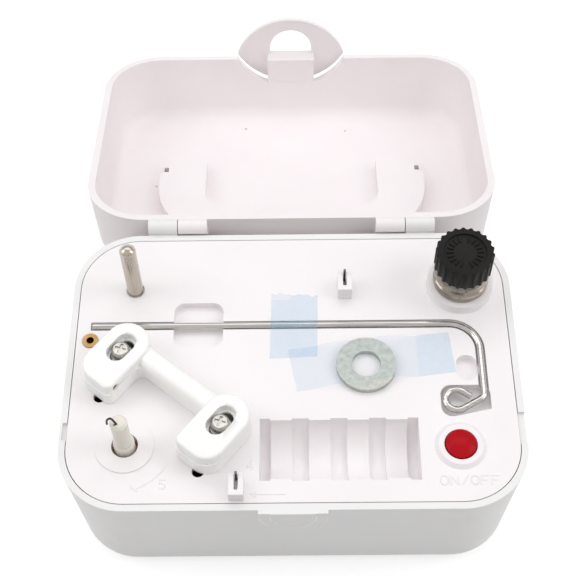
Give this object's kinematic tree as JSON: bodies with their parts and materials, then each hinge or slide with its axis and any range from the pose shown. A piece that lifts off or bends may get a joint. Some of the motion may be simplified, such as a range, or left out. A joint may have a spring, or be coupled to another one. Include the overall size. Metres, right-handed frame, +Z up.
{
  "type": "electric bobbin winder",
  "caption": "Compact electric bobbin winder in a hinged clamshell case, with spool pin, thread tension knob, winding spindle, adjustable stop arm and power button.",
  "frame": {"origin": "on the table under the middle of the base, in the plane of its flat bottom", "axes": "+Z up out of the deck, +X to the right and -Y towards the latch side; the lid lies open towards +Y"},
  "size_m": [0.15, 0.2199, 0.0756],
  "materials": {
    "white_plastic": "fine satin",
    "ivory_plastic": "satin, slightly translucent",
    "black_plastic": "satin",
    "red_plastic": "gloss",
    "steel": "bright",
    "zinc": "dull zinc",
    "nickel": "polished nickel",
    "brass": "machined",
    "belt_rubber": "matte",
    "cell_jacket": "gloss"
  },
  "bodies": {
    "base": {"base_tub": "white_plastic", "deck_plate": "white_plastic", "deck_screws": "steel", "battery_cells": "cell_jacket", "battery_contacts": "steel", "power_inlet": "black_plastic", "drive_motor": "zinc", "drive_belt": "belt_rubber", "spindle_bearing": "brass", "stop_switch": "black_plastic", "spool_pin": "nickel", "rod_socket": "brass", "tension_stud": "steel", "lower_tension_disc": "nickel", "upper_tension_disc": "nickel", "tension_spring": "steel", "rear_guide_post": "white_plastic", "front_guide_post": "white_plastic", "guide_wires": "steel", "power_switch": "black_plastic", "button_spring": "steel", "hinge_pins": "steel"},
    "lid": {"lid_shell": "white_plastic", "handle_pins": "steel"},
    "handle": {"carry_handle": "white_plastic"},
    "door": {"battery_door": "white_plastic"},
    "button": {"power_button": "red_plastic"},
    "spindle": {"bobbin_spindle": "ivory_plastic", "spindle_shaft": "steel", "spindle_pulley": "white_plastic", "spindle_wire": "steel"},
    "rotor": {"motor_shaft": "steel", "motor_pulley": "white_plastic"},
    "carriage": {"stop_carriage": "white_plastic", "stop_screws": "steel", "stop_washers": "steel"},
    "arm": {"stop_arm": "white_plastic"},
    "knob": {"tension_knob": "black_plastic"},
    "rod": {"guide_rod": "nickel"},
    "washer": {"spool_washer": "zinc"}
  },
  "joints": [
    {"name": "lid_hinge", "type": "hinge", "parent": "base", "child": "lid", "pos_m": [0, 0.055, 0.051], "axis": [-1, 0, 0], "range_deg": [-193.42, 0]},
    {"name": "handle_pivot", "type": "hinge", "parent": "lid", "child": "handle", "pos_m": [0, 0.10035, 0.01355], "axis": [1, 0, 0], "range_deg": [0, 90]},
    {"name": "door_slide", "type": "slide", "parent": "base", "child": "door", "axis": [1, 0, 0], "range_m": [0, 0.03]},
    {"name": "button_press", "type": "slide", "parent": "base", "child": "button", "axis": [0, 0, -1], "range_m": [0, 0.002], "stiffness_N_per_m": 400, "springref_m": -0.001, "deforming": ["button_spring"]},
    {"name": "spindle_spin", "type": "hinge", "parent": "base", "child": "spindle", "pos_m": [-0.0536, -0.0298, 0.05], "axis": [0, 0, 1], "continuous": true},
    {"name": "motor_spin", "type": "hinge", "parent": "base", "child": "rotor", "pos_m": [-0.02721, 0.00788, 0.034], "axis": [0, 0, 1], "continuous": true},
    {"name": "stop_slide", "type": "slide", "parent": "base", "child": "carriage", "axis": [-0.6266, -0.7793, 0], "range_m": [0, 0.006]},
    {"name": "arm_adjust", "type": "slide", "parent": "carriage", "child": "arm", "axis": [0.6266, 0.7793, 0], "range_m": [-0.0027, 0.0018]},
    {"name": "knob_turn", "type": "hinge", "parent": "base", "child": "knob", "pos_m": [0.05755, 0.0297, 0.062], "axis": [0, 0, 1], "range_deg": [-180, 180]},
    {"name": "rod_lift", "type": "slide", "parent": "base", "child": "rod", "axis": [0, 0, 1], "range_m": [0, 0.03]},
    {"name": "washer_lift", "type": "slide", "parent": "base", "child": "washer", "axis": [0, 0, 1], "range_m": [0, 0.02]}
  ],
  "couplings": [
    {"joint": "motor_spin", "follows": "spindle_spin", "ratio": 2.8571}
  ]
}
